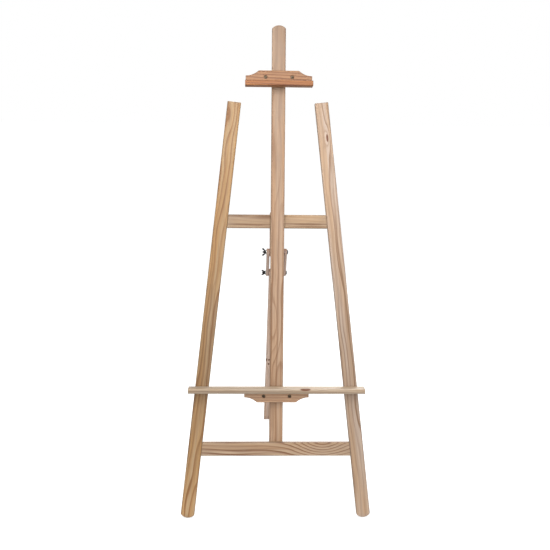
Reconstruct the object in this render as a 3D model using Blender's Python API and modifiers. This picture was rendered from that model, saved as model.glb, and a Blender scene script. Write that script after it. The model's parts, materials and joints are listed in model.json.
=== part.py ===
"""Tripod easel: two splayed pine legs joined by two crossbars, a mast that carries a sliding tray and a
sliding top clip, and a rear leg hung behind the mast on two bolted cheek plates.

Metres, +Z up. The front of the easel faces -Y and the rear leg reaches towards +Y.
"""
import math

import bmesh
import bpy
from mathutils import Matrix

# Driving dimensions, in metres and radians.
OVERALL_HEIGHT = 1.500
LEAN = math.radians(10.5)
GAP = 0.0003
EDGE_EASE = 0.001
HOLE_END_ROOM = 0.001

STOCK_WIDTH = 0.042
STOCK_THICKNESS = 0.020
ROUND_END_RADIUS = 0.028

LEG_LENGTH = 1.298
FOOT_X = 0.2725
LEG_TOP_X = 0.1350
LOWER_BAR_HEIGHT = 0.213
UPPER_BAR_HEIGHT = 0.922
MAST_FOOT_RISE = 0.001

TRAY_LENGTH = 0.543
TRAY_ON_MAST = 0.2185
LEDGE_LENGTH = 0.203
LEDGE_ON_MAST = 1.149
SHELF_DEPTH = 0.043
SHELF_THICKNESS = 0.0155
SHELF_SETBACK = 0.012

BRACKET_LENGTH = 0.200
BRACKET_FLAT = 0.120
BRACKET_HEIGHT = 0.033
BRACKET_END_HEIGHT = 0.0175
BRACKET_THICKNESS = 0.025
CLAMP_BAR_LENGTH = 0.120
CLAMP_BAR_THICKNESS = 0.015
CLAMP_BOLT_X = 0.040
CLAMP_BOLT_DROP = 0.013

HINGE_WIDTH = 0.045
HINGE_THICKNESS = 0.028
HINGE_PIVOT_HEIGHT = 0.8275
HINGE_BLOCK_BELOW = 0.014
HINGE_BLOCK_ABOVE = 0.015
HINGE_SHOULDER = 0.008
CHEEK_THICKNESS = 0.009
CHEEK_WIDTH = 0.022
LINK_LENGTH = 0.102
REAR_LEG_ANGLE = math.radians(39.5)
REAR_LEG_THICKNESS = 0.020
REAR_LEG_TOP_MARGIN = 0.014

BOLT_RADIUS = 0.003
BOLT_HEAD_RADIUS = 0.0075
BOLT_HEAD_HEIGHT = 0.0036
WASHER_RADIUS = 0.008
WASHER_THICKNESS = 0.0016
NUT_HUB_RADIUS = 0.0058
NUT_HUB_TOP_RADIUS = 0.0048
NUT_HUB_HEIGHT = 0.006
NUT_SPAN = 0.026
NUT_HEIGHT = 0.0125
NUT_WING_THICKNESS = 0.0024
NUT_WING_TIP_RADIUS = 0.0035
NUT_WING_ROOT_LOW = 0.0012
NUT_WING_ROOT_HIGH = 0.0052
LINK_NUT_TURN = math.radians(33)
KNEE_NUT_TURN = math.radians(4)
TRAY_NUT_TURNS = (math.radians(24), math.radians(-58))
CLIP_NUT_TURNS = (math.radians(-15), math.radians(41))
BOLT_PAST_NUT = 0.004
BOLT_TIP_CHAMFER = 0.0006
COUNTERBORE_RADIUS = 0.0056
COUNTERBORE_DEPTH = 0.0050
CLAMP_HEAD_RADIUS = 0.0050
CLAMP_HEAD_HEIGHT = 0.0032
CLAMP_HEAD_RIM = 0.0005

DOWEL_RADIUS = 0.004
DOWEL_CHAMFER = 0.0008
DOWEL_LENGTH = 0.038
DOWEL_SPACING = 0.022
SHELF_DOWEL_LENGTH = 0.024
SHELF_DOWEL_X = 0.070
SCREW_RADIUS = 0.0021
SCREW_HEAD_RADIUS = 0.0042
SCREW_TIP = 0.005
SCREW_HEAD_SINK = 0.0004
SHORT_SCREW_LENGTH = 0.034
LONG_SCREW_LENGTH = 0.060
SCREW_OFFSET_X = 0.009
SCREW_OFFSET_Z = 0.010

# Sizes and angles that follow from the driving ones.
HALF_WIDTH = STOCK_WIDTH / 2
SPLAY = math.asin((FOOT_X - LEG_TOP_X) / (LEG_LENGTH - ROUND_END_RADIUS))
BORE_RADIUS = BOLT_RADIUS + GAP

# The mast rests on the front of the upper crossbar and on the back of the lower one, so it leans
# a little less than the legs. Its back face passes the lower front edge of the upper crossbar and
# its front face passes the upper back edge of the lower crossbar.
UPPER_TOUCH = UPPER_BAR_HEIGHT - HALF_WIDTH
LOWER_TOUCH = LOWER_BAR_HEIGHT + HALF_WIDTH
TOUCH_RISE = UPPER_TOUCH - LOWER_TOUCH
TOUCH_DEPTH = STOCK_THICKNESS + 2 * GAP
MAST_TILT = (math.asin(STOCK_THICKNESS / math.hypot(TOUCH_RISE, TOUCH_DEPTH))
             + math.atan2(TOUCH_DEPTH, TOUCH_RISE))
MAST_FOOT_HEIGHT = LOWER_BAR_HEIGHT - HALF_WIDTH + MAST_FOOT_RISE
MAST_FOOT_DEPTH = GAP + (LOWER_TOUCH - MAST_FOOT_HEIGHT) * math.tan(MAST_TILT)
MAST_LEAN = LEAN - MAST_TILT

# The legs stand on the eased back edge of their round ends.
FRAME_DROP = EDGE_EASE * math.sin(LEAN)
MAST_FOOT_Z = (MAST_FOOT_HEIGHT * math.cos(LEAN) - MAST_FOOT_DEPTH * math.sin(LEAN) - FRAME_DROP)
MAST_LENGTH = (OVERALL_HEIGHT - MAST_FOOT_Z) / math.cos(MAST_LEAN)

PIVOT_DEPTH = GAP + HINGE_THICKNESS / 2
PIVOT_Y = HINGE_PIVOT_HEIGHT * math.sin(LEAN) + PIVOT_DEPTH * math.cos(LEAN)
PIVOT_Z = HINGE_PIVOT_HEIGHT * math.cos(LEAN) - PIVOT_DEPTH * math.sin(LEAN) - FRAME_DROP
KNEE_Z = PIVOT_Z - LINK_LENGTH * math.cos(REAR_LEG_ANGLE)
FOOT_EDGE_DROP = (REAR_LEG_THICKNESS / 2 - EDGE_EASE) * math.sin(REAR_LEG_ANGLE)
REAR_LEG_REACH = (KNEE_Z - FOOT_EDGE_DROP) / math.cos(REAR_LEG_ANGLE)

# The origin is on the floor at the middle of the whole stance, from the legs' front lower edges to
# the rear foot's back edge.
STANCE_FRONT = EDGE_EASE * math.sin(LEAN) - STOCK_THICKNESS * math.cos(LEAN)
STANCE_BACK = (PIVOT_Y + (LINK_LENGTH + REAR_LEG_REACH - EDGE_EASE) * math.sin(REAR_LEG_ANGLE)
               + REAR_LEG_THICKNESS / 2 * math.cos(REAR_LEG_ANGLE))
STANCE_MIDDLE = (STANCE_FRONT + STANCE_BACK) / 2

CHEEK_X = HINGE_WIDTH / 2 + GAP + CHEEK_THICKNESS / 2
HINGE_BOLT_SEAT = HINGE_WIDTH / 2 + GAP + CHEEK_THICKNESS + GAP

PINE = (0.62, 0.42, 0.26)
PINE_GOLDEN = (0.60, 0.36, 0.17)
PINE_PALE = (0.72, 0.55, 0.38)
PINE_ORANGE = (0.62, 0.33, 0.16)
BEECH = (0.66, 0.47, 0.29)
BLACK_STEEL = (0.05, 0.05, 0.052)
ZINC_STEEL = (0.42, 0.40, 0.36)
WOOD_ROUGHNESS = 0.62
STEEL_ROUGHNESS = 0.38

# How finely round shapes are divided, and how far a cutter runs past the faces it opens.
ROUND_STEPS = 24
SMALL_ROUND_STEPS = 16
END_ARC_STEPS = 14
SWEEP_STEPS = 10
CUTTER_LEAD = 0.002
SEAM_DISTANCE = 0.00001
AXIS_DISPLAY_SIZE = 0.05


# Scene and collections.

def clear_scene():
    for obj in list(bpy.data.objects):
        bpy.data.objects.remove(obj, do_unlink=True)


def new_collection(name):
    collection = bpy.data.collections.new(name)
    bpy.context.scene.collection.children.link(collection)
    return collection


clear_scene()
EASEL = new_collection("tripod_easel")
CUTTERS = new_collection("cutters")
CUTTERS.hide_render = True


def link_to(obj, collection):
    for other in list(obj.users_collection):
        other.objects.unlink(obj)
    collection.objects.link(obj)


def axis_empty(name, location=(0, 0, 0), tilt=0.0, parent=None):
    empty = bpy.data.objects.new(name, None)
    empty.location = location
    empty.rotation_euler = (tilt, 0, 0)
    empty.empty_display_size = AXIS_DISPLAY_SIZE
    empty.parent = parent
    EASEL.objects.link(empty)
    return empty


def finish(obj, colour, roughness, metallic=0.0):
    material = bpy.data.materials.new(obj.name + "_finish")
    material.use_nodes = True
    shader = material.node_tree.nodes["Principled BSDF"]
    shader.inputs["Base Color"].default_value = (*colour, 1.0)
    shader.inputs["Roughness"].default_value = roughness
    shader.inputs["Metallic"].default_value = metallic
    material.diffuse_color = (*colour, 1.0)
    obj.data.materials.clear()
    obj.data.materials.append(material)


def wood(obj, colour=PINE):
    finish(obj, colour, WOOD_ROUGHNESS)


def steel(obj, colour=BLACK_STEEL):
    finish(obj, colour, STEEL_ROUGHNESS, 1.0)


# Outlines and solids.

def arc(centre, radius, start, end, steps):
    """Points along an arc, with start and end in degrees."""
    points = []
    for step in range(steps + 1):
        angle = math.radians(start + (end - start) * step / steps)
        points.append((centre[0] + radius * math.cos(angle), centre[1] + radius * math.sin(angle)))
    return points


PLANES = {
    # An outline's first axis, its second axis and its thickness run along these directions.
    "XZ": Matrix(((1, 0, 0, 0), (0, 0, -1, 0), (0, 1, 0, 0), (0, 0, 0, 1))),
    "YZ": Matrix(((0, 0, 1, 0), (1, 0, 0, 0), (0, 1, 0, 0), (0, 0, 0, 1))),
}


def plate(name, outline, thickness, plane, collection=EASEL):
    """A flat board with this outline, centred on its own mid-plane."""
    curve = bpy.data.curves.new(name + "_outline", "CURVE")
    curve.dimensions = "2D"
    curve.fill_mode = "BOTH"
    curve.extrude = thickness / 2
    spline = curve.splines.new("POLY")
    spline.points.add(len(outline) - 1)
    for point, (across, along) in zip(spline.points, outline):
        point.co = (across, along, 0, 1)
    spline.use_cyclic_u = True
    flat = bpy.data.objects.new(name + "_flat", curve)
    collection.objects.link(flat)
    depsgraph = bpy.context.evaluated_depsgraph_get()
    mesh = bpy.data.meshes.new_from_object(flat.evaluated_get(depsgraph))
    bpy.data.objects.remove(flat, do_unlink=True)
    bpy.data.curves.remove(curve)
    shape = bmesh.new()
    shape.from_mesh(mesh)
    bmesh.ops.remove_doubles(shape, verts=shape.verts, dist=SEAM_DISTANCE)
    bmesh.ops.dissolve_limit(shape, angle_limit=math.radians(0.5), verts=shape.verts, edges=shape.edges)
    shape.transform(PLANES[plane])
    bmesh.ops.recalc_face_normals(shape, faces=shape.faces)
    shape.to_mesh(mesh)
    shape.free()
    mesh.name = name
    obj = bpy.data.objects.new(name, mesh)
    collection.objects.link(obj)
    return obj


def block(name, size):
    """A rectangular board centred on its own origin."""
    bpy.ops.mesh.primitive_cube_add(size=1)
    obj = bpy.context.object
    obj.name = name
    obj.data.name = name
    obj.data.transform(Matrix.Diagonal((*size, 1)))
    link_to(obj, EASEL)
    return obj


def ease_edges(obj, width=EDGE_EASE):
    bevel = obj.modifiers.new("eased_edges", "BEVEL")
    bevel.width = width
    bevel.segments = 1
    bevel.limit_method = "ANGLE"
    bevel.angle_limit = math.radians(32)


def turned(name, profile, steps=ROUND_STEPS):
    """A solid of revolution about its own Z; the profile is (radius, height) from top to bottom."""
    mesh = bpy.data.meshes.new(name)
    shape = bmesh.new()
    verts = [shape.verts.new((radius, 0, height)) for radius, height in profile]
    for first, second in zip(verts, verts[1:]):
        shape.edges.new((first, second))
    shape.to_mesh(mesh)
    shape.free()
    obj = bpy.data.objects.new(name, mesh)
    EASEL.objects.link(obj)
    screw = obj.modifiers.new("turn", "SCREW")
    screw.axis = "Z"
    screw.steps = steps
    screw.render_steps = steps
    screw.use_merge_vertices = True
    screw.merge_threshold = 0.0001
    screw.use_smooth_shade = True
    return obj


def ring(name, outer, inner, height, steps=ROUND_STEPS):
    """A flat ring that stands on its own origin, such as a washer."""
    profile = [(inner, height), (outer, height), (outer, 0), (inner, 0), (inner, height)]
    return turned(name, profile, steps)


def place(obj, parent, location=(0, 0, 0), rotation=(0, 0, 0)):
    obj.parent = parent
    obj.location = location
    obj.rotation_euler = rotation
    return obj


def cutter(name, radius, length, parent, location, rotation, steps=ROUND_STEPS, lead=0.0,
           start_radius=None):
    """A round cutter along its own +Z, from lead before its location to length past it.

    A start radius larger than the radius makes it taper like a countersink.
    """
    depth = length + lead
    wide = start_radius or radius
    bpy.ops.mesh.primitive_cone_add(vertices=steps, radius1=wide, radius2=radius, depth=depth)
    obj = bpy.context.object
    obj.name = name
    obj.data.transform(Matrix.Translation((0, 0, depth / 2 - lead)))
    link_to(obj, CUTTERS)
    obj.hide_render = True
    obj.display_type = "WIRE"
    return place(obj, parent, location, rotation)


def cut(obj, *tools):
    for tool in tools:
        boolean = obj.modifiers.new("cut_" + tool.name, "BOOLEAN")
        boolean.operation = "DIFFERENCE"
        boolean.solver = "EXACT"
        boolean.object = tool


def round_shading(obj):
    obj.data.shade_smooth()
    obj.data.set_sharp_from_angle(angle=math.radians(35))


# Directions for turned pieces and cutters, as rotations of their own +Z.
TO_RIGHT = (0, math.radians(90), 0)
TO_LEFT = (0, math.radians(-90), 0)
TO_FRONT = (math.radians(90), 0, 0)
TO_BACK = (math.radians(-90), 0, 0)
TO_TOP = (0, 0, 0)

# Axes of the assembly.
STANCE = axis_empty("stance_axis", (0, -STANCE_MIDDLE, 0))
FRAME = axis_empty("frame_plane", (0, 0, -FRAME_DROP), -LEAN, STANCE)
MAST = axis_empty("mast_axis", (0, MAST_FOOT_DEPTH, MAST_FOOT_HEIGHT), MAST_TILT, FRAME)
TRAY = axis_empty("tray_slide_axis", (0, 0, TRAY_ON_MAST), 0.0, MAST)
CLIP = axis_empty("clip_slide_axis", (0, 0, LEDGE_ON_MAST), 0.0, MAST)
LINK = axis_empty("link_pivot_axis", (0, PIVOT_Y, PIVOT_Z), REAR_LEG_ANGLE, STANCE)
KNEE = axis_empty("rear_leg_pivot_axis", (0, 0, -LINK_LENGTH), 0.0, LINK)


# Legs and crossbars, which lie between the front and back planes of the tilted frame.

def leg_outline():
    """A leg with a round foot, seen from the front, about the centre of the foot's arc."""
    half_angle = math.degrees(math.asin(HALF_WIDTH / ROUND_END_RADIUS))
    top = LEG_LENGTH - ROUND_END_RADIUS
    foot = arc((0, 0), ROUND_END_RADIUS, -90 - half_angle, -90 + half_angle, END_ARC_STEPS)
    return foot + [(HALF_WIDTH, top), (-HALF_WIDTH, top)]


def inner_face_x(height):
    """How far a leg's inner face is from the centre line at this height on the frame."""
    centre = FOOT_X - (height - ROUND_END_RADIUS) * math.tan(SPLAY)
    return centre - HALF_WIDTH / math.cos(SPLAY)


def crossbar_outline(height):
    low = inner_face_x(height - HALF_WIDTH) - GAP
    high = inner_face_x(height + HALF_WIDTH) - GAP
    return [(-low, -HALF_WIDTH), (low, -HALF_WIDTH), (high, HALF_WIDTH), (-high, HALF_WIDTH)]


def make_leg(name, side, colour):
    leg = plate(name, leg_outline(), STOCK_THICKNESS, "XZ")
    ease_edges(leg)
    wood(leg, colour)
    return place(leg, FRAME, (side * FOOT_X, -STOCK_THICKNESS / 2, ROUND_END_RADIUS), (0, -side * SPLAY, 0))


def make_crossbar(name, height, colour):
    bar = plate(name, crossbar_outline(height), STOCK_THICKNESS, "XZ")
    ease_edges(bar)
    wood(bar, colour)
    return place(bar, FRAME, (0, -STOCK_THICKNESS / 2, height))


def make_dowel(name, length, parent, location, direction, *boards):
    """A chamfered dowel whose origin is one end, and its hole in each board."""
    waist = DOWEL_RADIUS - DOWEL_CHAMFER
    profile = [(0, length), (waist, length), (DOWEL_RADIUS, length - DOWEL_CHAMFER),
               (DOWEL_RADIUS, DOWEL_CHAMFER), (waist, 0), (0, 0)]
    dowel = turned(name, profile, SMALL_ROUND_STEPS)
    wood(dowel, BEECH)
    place(dowel, parent, location, direction)
    hole = cutter(name + "_hole", DOWEL_RADIUS + GAP, length + HOLE_END_ROOM, parent, location, direction,
                  SMALL_ROUND_STEPS, HOLE_END_ROOM)
    for board in boards:
        cut(board, hole)


def make_joint_dowels(bar, bar_name, height, leg, side_name, side):
    """Two dowels across one joint, each half in the crossbar and half in the leg."""
    direction = TO_RIGHT if side > 0 else TO_LEFT
    for label, offset in (("upper", DOWEL_SPACING / 2), ("lower", -DOWEL_SPACING / 2)):
        level = height + offset
        start = (side * (inner_face_x(level) - DOWEL_LENGTH / 2), -STOCK_THICKNESS / 2, level)
        make_dowel(f"{bar_name}_dowel_{side_name}_{label}", DOWEL_LENGTH, FRAME, start, direction, leg, bar)


left_leg = make_leg("left_leg", -1, PINE_GOLDEN)
right_leg = make_leg("right_leg", 1, PINE)
upper_crossbar = make_crossbar("upper_crossbar", UPPER_BAR_HEIGHT, PINE)
lower_crossbar = make_crossbar("lower_crossbar", LOWER_BAR_HEIGHT, PINE)
for crossbar, label, level in ((upper_crossbar, "upper", UPPER_BAR_HEIGHT),
                               (lower_crossbar, "lower", LOWER_BAR_HEIGHT)):
    make_joint_dowels(crossbar, label, level, left_leg, "left", -1)
    make_joint_dowels(crossbar, label, level, right_leg, "right", 1)


# Mast, with a round top.

def mast_outline():
    half_angle = math.degrees(math.asin(HALF_WIDTH / ROUND_END_RADIUS))
    centre = (0, MAST_LENGTH - ROUND_END_RADIUS)
    crown = arc(centre, ROUND_END_RADIUS, 90 - half_angle, 90 + half_angle, END_ARC_STEPS)
    return [(-HALF_WIDTH, 0), (HALF_WIDTH, 0)] + crown


def make_mast():
    piece = plate("mast", mast_outline(), STOCK_THICKNESS, "XZ")
    ease_edges(piece)
    wood(piece)
    return place(piece, MAST, (0, STOCK_THICKNESS / 2, 0))


mast = make_mast()


# Wood screws. A screw's own origin is the centre of its flat head, and its shank runs along +Z.

def make_wood_screw(name, length, parent, location, direction, *boards):
    """A countersunk screw through boards; its holes have running clearance all round."""
    head_depth = SCREW_HEAD_RADIUS - SCREW_RADIUS
    profile = [(0, length), (SCREW_RADIUS, length - SCREW_TIP), (SCREW_RADIUS, head_depth),
               (SCREW_HEAD_RADIUS, 0), (0, 0)]
    screw = turned(name, profile, SMALL_ROUND_STEPS)
    steel(screw, ZINC_STEEL)
    place(screw, parent, location, direction)
    hole = cutter(name + "_hole", SCREW_RADIUS + GAP, length + HOLE_END_ROOM, parent, location, direction,
                  SMALL_ROUND_STEPS, CUTTER_LEAD)
    sink = cutter(name + "_sink", SCREW_RADIUS + GAP / 2, head_depth + 2 * GAP, parent, location, direction,
                  lead=CUTTER_LEAD, start_radius=SCREW_HEAD_RADIUS + GAP + CUTTER_LEAD)
    for board in boards:
        cut(board, hole)
    cut(boards[0], sink)


def diagonal_pair(level):
    """Two points, one high on the left and one low on the right of the centre line."""
    left = ("left", -SCREW_OFFSET_X, level + SCREW_OFFSET_Z)
    right = ("right", SCREW_OFFSET_X, level - SCREW_OFFSET_Z)
    return left, right


LOWER_BAR_ON_MAST = (LOWER_BAR_HEIGHT - MAST_FOOT_HEIGHT) / math.cos(MAST_TILT)
for label, across, along in diagonal_pair(LOWER_BAR_ON_MAST):
    make_wood_screw(f"mast_foot_screw_{label}", SHORT_SCREW_LENGTH, MAST,
                    (across, STOCK_THICKNESS - SCREW_HEAD_SINK, along), TO_FRONT, mast, lower_crossbar)


# Hinge block, screwed through the upper crossbar into the mast.

def hinge_block_outline():
    half = HINGE_WIDTH / 2
    low = HINGE_PIVOT_HEIGHT - HINGE_BLOCK_BELOW
    high = UPPER_BAR_HEIGHT + HALF_WIDTH + HINGE_BLOCK_ABOVE
    return [(-half, low), (half, low), (half, high - HINGE_SHOULDER), (half - HINGE_SHOULDER, high),
            (HINGE_SHOULDER - half, high), (-half, high - HINGE_SHOULDER)]


def make_hinge_block():
    piece = plate("hinge_block", hinge_block_outline(), HINGE_THICKNESS, "XZ")
    ease_edges(piece)
    wood(piece)
    place(piece, FRAME, (0, PIVOT_DEPTH, 0))
    bore = cutter("hinge_block_bore", BORE_RADIUS, 2 * HINGE_WIDTH, FRAME,
                  (-HINGE_WIDTH, PIVOT_DEPTH, HINGE_PIVOT_HEIGHT), TO_RIGHT)
    cut(piece, bore)
    return piece


hinge_block = make_hinge_block()
BLOCK_BACK = GAP + HINGE_THICKNESS
for label, across, along in diagonal_pair(UPPER_BAR_HEIGHT):
    make_wood_screw(f"hinge_block_screw_{label}", LONG_SCREW_LENGTH, FRAME,
                    (across, BLOCK_BACK - SCREW_HEAD_SINK, along), TO_FRONT,
                    hinge_block, upper_crossbar, mast)


# Cheek plates and rear leg, about the link's pivot and its knee.

def cheek_outline():
    """A plate with round ends about the two bolts, seen from the side."""
    radius = CHEEK_WIDTH / 2
    top = arc((0, 0), radius, 0, 180, END_ARC_STEPS)
    bottom = arc((0, -LINK_LENGTH), radius, 180, 360, END_ARC_STEPS)
    return top + bottom


def make_cheek(name, side):
    cheek = plate(name, cheek_outline(), CHEEK_THICKNESS, "YZ")
    ease_edges(cheek)
    wood(cheek, PINE_PALE)
    place(cheek, LINK, (side * CHEEK_X, 0, 0))
    for label, level in (("upper", 0), ("lower", -LINK_LENGTH)):
        bore = cutter(f"{name}_{label}_bore", BORE_RADIUS, 2 * CHEEK_THICKNESS, LINK,
                      (side * CHEEK_X - CHEEK_THICKNESS, 0, level), TO_RIGHT)
        cut(cheek, bore)
    return cheek


def rear_leg_outline():
    """The rear leg seen from the side: a round top about the knee bolt and a square-cut foot."""
    radius = REAR_LEG_THICKNESS / 2
    top = arc((0, REAR_LEG_TOP_MARGIN - radius), radius, 0, 180, END_ARC_STEPS)
    return [(-radius, -REAR_LEG_REACH), (radius, -REAR_LEG_REACH)] + top


def make_rear_leg():
    leg = plate("rear_leg", rear_leg_outline(), HINGE_WIDTH, "YZ")
    ease_edges(leg)
    wood(leg, PINE_PALE)
    place(leg, KNEE)
    bore = cutter("rear_leg_bore", BORE_RADIUS, 2 * HINGE_WIDTH, KNEE, (-HINGE_WIDTH, 0, 0), TO_RIGHT)
    cut(leg, bore)
    return leg


cheek_left = make_cheek("cheek_left", -1)
cheek_right = make_cheek("cheek_right", 1)
rear_leg = make_rear_leg()


# Bolts, washers and wing nuts. Each piece's own +Z runs from the bolt's head towards its nut.

def bolt_shank(length):
    """The profile of a bolt's shank, from its chamfered tip to the seat under its head."""
    waist = BOLT_RADIUS - BOLT_TIP_CHAMFER
    return [(0, length), (waist, length), (BOLT_RADIUS, length - BOLT_TIP_CHAMFER), (BOLT_RADIUS, 0)]


def make_round_head_bolt(name, grip, parent, location, direction):
    """A domed bolt whose origin is the middle of the seat under its head."""
    length = grip + WASHER_THICKNESS + 2 * GAP + NUT_HUB_HEIGHT + BOLT_PAST_NUT
    quarter = arc((0, 0), 1.0, 360, 270, SWEEP_STEPS)
    dome = [(BOLT_HEAD_RADIUS * x, BOLT_HEAD_HEIGHT * z) for x, z in quarter[:-1]]
    bolt = turned(name, bolt_shank(length) + dome + [(0, -BOLT_HEAD_HEIGHT)])
    steel(bolt)
    place(bolt, parent, location, direction)


def make_socket_head_bolt(name, length, parent, location, direction):
    """A cylinder-head bolt whose origin is the middle of the seat under its head."""
    head = [(CLAMP_HEAD_RADIUS, 0), (CLAMP_HEAD_RADIUS, CLAMP_HEAD_RIM - CLAMP_HEAD_HEIGHT),
            (CLAMP_HEAD_RADIUS - CLAMP_HEAD_RIM, -CLAMP_HEAD_HEIGHT), (0, -CLAMP_HEAD_HEIGHT)]
    bolt = turned(name, bolt_shank(length) + head)
    steel(bolt)
    place(bolt, parent, location, direction)


def make_washer(name, parent, location, direction):
    washer = ring(name, WASHER_RADIUS, BORE_RADIUS, WASHER_THICKNESS)
    steel(washer, ZINC_STEEL)
    place(washer, parent, location, direction)


def wing_outline():
    """One wing from the hub to its tip, seen from the side; it starts inside the hub."""
    root_x = (BORE_RADIUS + NUT_HUB_TOP_RADIUS) / 2
    centre = (NUT_SPAN / 2 - NUT_WING_TIP_RADIUS, NUT_HEIGHT - NUT_WING_TIP_RADIUS)
    tip = arc(centre, NUT_WING_TIP_RADIUS, -50, 120, SWEEP_STEPS)
    return [(root_x, NUT_WING_ROOT_LOW)] + tip + [(root_x, NUT_WING_ROOT_HIGH)]


def make_wing_nut(name, parent, location, direction, turn):
    """A wing nut standing on its own origin, with its wings turned this far about its bolt."""
    hub = [(BORE_RADIUS, NUT_HUB_HEIGHT), (NUT_HUB_TOP_RADIUS, NUT_HUB_HEIGHT), (NUT_HUB_RADIUS, 0),
           (BORE_RADIUS, 0), (BORE_RADIUS, NUT_HUB_HEIGHT)]
    nut = turned(name, hub)
    steel(nut)
    place(nut, parent, location, direction)
    for label, angle in (("first", turn), ("second", turn + math.pi)):
        wing = plate(f"{name}_{label}_wing", wing_outline(), NUT_WING_THICKNESS, "XZ", CUTTERS)
        wing.hide_render = True
        wing.display_type = "WIRE"
        wing.data.transform(Matrix.Rotation(angle, 4, "Z"))
        wing.parent = nut
        union = nut.modifiers.new(label + "_wing", "BOOLEAN")
        union.operation = "UNION"
        union.solver = "EXACT"
        union.object = wing


def make_hinge_hardware(label, parent, nut_turn):
    """A bolt from the right cheek to the left one, with its washer and wing nut on the left."""
    grip = 2 * HINGE_BOLT_SEAT
    make_round_head_bolt(f"{label}_bolt", grip, parent, (HINGE_BOLT_SEAT, 0, 0), TO_LEFT)
    make_washer(f"{label}_washer", parent, (-HINGE_BOLT_SEAT, 0, 0), TO_LEFT)
    nut_x = HINGE_BOLT_SEAT + WASHER_THICKNESS + GAP
    make_wing_nut(f"{label}_wing_nut", parent, (-nut_x, 0, 0), TO_LEFT, nut_turn)


make_hinge_hardware("link", LINK, LINK_NUT_TURN)
make_hinge_hardware("knee", KNEE, KNEE_NUT_TURN)


# Sliding carriages: a shelf board, a scalloped bracket in front of the mast, and a bar behind it.

def bracket_outline(away):
    """The bracket seen from the front; it grows from its shelf in the direction of away, +1 or -1."""
    run = (BRACKET_LENGTH - BRACKET_FLAT) / 2
    rise = BRACKET_HEIGHT - BRACKET_END_HEIGHT
    sweep = 2 * math.atan2(rise, run)
    radius = run / math.sin(sweep)
    centre_height = BRACKET_END_HEIGHT + radius
    right = arc((BRACKET_LENGTH / 2, centre_height), radius, -90, -90 - math.degrees(sweep), SWEEP_STEPS)
    left = [(-x, height) for x, height in reversed(right)]
    outline = [(-BRACKET_LENGTH / 2, 0), (BRACKET_LENGTH / 2, 0)] + right + left
    return [(x, away * height) for x, height in outline]


def make_carriage(label, shelf_name, parent, shelf_length, away, colour, nut_turns):
    """A clamped shelf on the mast. Its bracket and bar lie below the shelf when away is -1."""
    shelf_middle_y = -SHELF_SETBACK - SHELF_DEPTH / 2
    shelf = block(shelf_name, (shelf_length, SHELF_DEPTH, SHELF_THICKNESS))
    ease_edges(shelf)
    wood(shelf, colour)
    place(shelf, parent, (0, shelf_middle_y, -SHELF_THICKNESS / 2))

    seat = -SHELF_THICKNESS - GAP if away < 0 else GAP
    bracket = plate(f"{label}_bracket", bracket_outline(away), BRACKET_THICKNESS, "XZ")
    ease_edges(bracket)
    wood(bracket, colour)
    place(bracket, parent, (0, -GAP - BRACKET_THICKNESS / 2, seat))

    bar = block(f"{label}_clamp_bar", (CLAMP_BAR_LENGTH, CLAMP_BAR_THICKNESS, BRACKET_HEIGHT))
    ease_edges(bar)
    wood(bar)
    bar_front = STOCK_THICKNESS + GAP
    place(bar, parent, (0, bar_front + CLAMP_BAR_THICKNESS / 2, seat + away * BRACKET_HEIGHT / 2))

    bolt_z = seat + away * CLAMP_BOLT_DROP
    front_face = -GAP - BRACKET_THICKNESS
    head_seat = front_face + COUNTERBORE_DEPTH
    bar_back = bar_front + CLAMP_BAR_THICKNESS
    nut_seat = bar_back + 2 * GAP + WASHER_THICKNESS
    bolt_length = nut_seat + NUT_HUB_HEIGHT + BOLT_PAST_NUT - head_seat
    for side_name, x, turn in (("left", -CLAMP_BOLT_X, nut_turns[0]), ("right", CLAMP_BOLT_X, nut_turns[1])):
        name = f"{label}_clamp_bolt_{side_name}"
        make_socket_head_bolt(name, bolt_length, parent, (x, head_seat - GAP, bolt_z), TO_BACK)
        bore = cutter(name + "_bore", BORE_RADIUS, 2 * BRACKET_THICKNESS + STOCK_THICKNESS, parent,
                      (x, front_face, bolt_z), TO_BACK, lead=CUTTER_LEAD)
        recess = cutter(name + "_recess", COUNTERBORE_RADIUS, COUNTERBORE_DEPTH, parent,
                        (x, front_face, bolt_z), TO_BACK, lead=CUTTER_LEAD)
        cut(bracket, bore, recess)
        cut(bar, bore)
        make_washer(f"{label}_clamp_washer_{side_name}", parent, (x, bar_back + GAP, bolt_z), TO_BACK)
        make_wing_nut(f"{label}_wing_nut_{side_name}", parent, (x, nut_seat, bolt_z), TO_BACK, turn)

    dowel_y = (-SHELF_SETBACK - GAP - BRACKET_THICKNESS) / 2
    half = SHELF_DOWEL_LENGTH / 2
    face_z = -SHELF_THICKNESS if away < 0 else 0.0
    centre_z = face_z + away * (half - SHELF_THICKNESS / 2)
    for side_name, x in (("left", -SHELF_DOWEL_X), ("right", SHELF_DOWEL_X)):
        make_dowel(f"{label}_dowel_{side_name}", SHELF_DOWEL_LENGTH, parent, (x, dowel_y, centre_z - half),
                   TO_TOP, shelf, bracket)


make_carriage("tray", "tray_board", TRAY, TRAY_LENGTH, -1, PINE_PALE, TRAY_NUT_TURNS)
make_carriage("clip", "clip_ledge", CLIP, LEDGE_LENGTH, 1, PINE_ORANGE, CLIP_NUT_TURNS)

for part in EASEL.objects:
    if part.type == "MESH":
        round_shading(part)
bpy.context.view_layer.update()
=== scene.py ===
"""Tripod easel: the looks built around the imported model.

Every board is rebuilt from its CAD solid with rounded arrises and a finish whose growth rings run through
the solid wood, and every fastener is rebuilt with threads, recesses or cast wings.
"""

import json
import math

import bpy
import numpy as np
from mathutils import Matrix, Vector, noise
from mathutils.geometry import convex_hull_2d


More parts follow.
